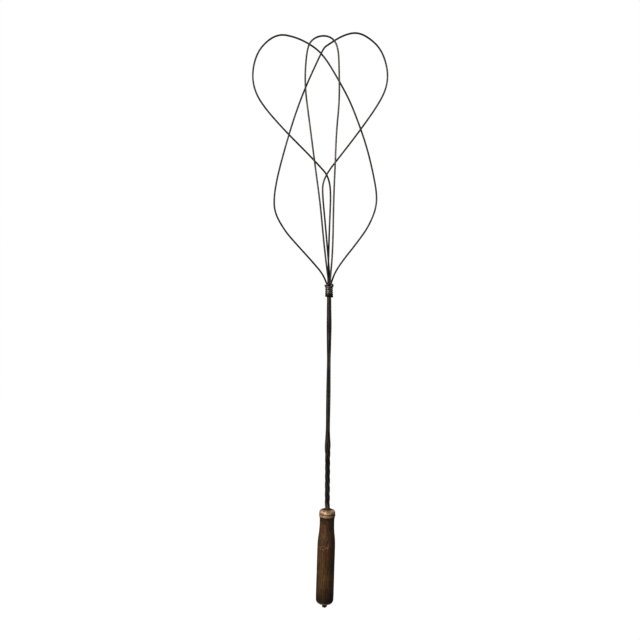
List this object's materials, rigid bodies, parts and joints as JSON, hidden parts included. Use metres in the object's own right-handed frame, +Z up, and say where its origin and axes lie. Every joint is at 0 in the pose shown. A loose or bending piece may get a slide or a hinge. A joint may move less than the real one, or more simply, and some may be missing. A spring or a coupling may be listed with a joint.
{
  "type": "wire carpet beater",
  "caption": "Hand-held wire carpet and rug beater: looped spring wires in a double heart, bound at the throat, twisted to a shaft and driven through a turned wooden handle.",
  "frame": {"origin": "on the handle's axis, at the middle of the straight grip", "axes": "+Z up along the beater towards the head, +X to the right, -Y out of the face of the head. The handle leans 1.78 degrees, its butt towards -X."},
  "size_m": [0.1757, 0.0228, 0.7401],
  "materials": {
    "dark_wire": "dark oxidised spring steel, satin",
    "worn_wire": "oxidised spring steel rubbed to a brownish grey, satin",
    "binding_wire": "dull grey annealed steel",
    "aged_brass": "tarnished brass, polished by handling on its edges",
    "dark_wood": "dark stained hardwood with worn varnish"
  },
  "bodies": {
    "root": {"heart_wire_front": "dark_wire", "heart_wire_back": "dark_wire", "centre_wire": "worn_wire", "throat_binding": "binding_wire", "ferrule": "aged_brass", "handle": "dark_wood"}
  },
  "joints": []
}
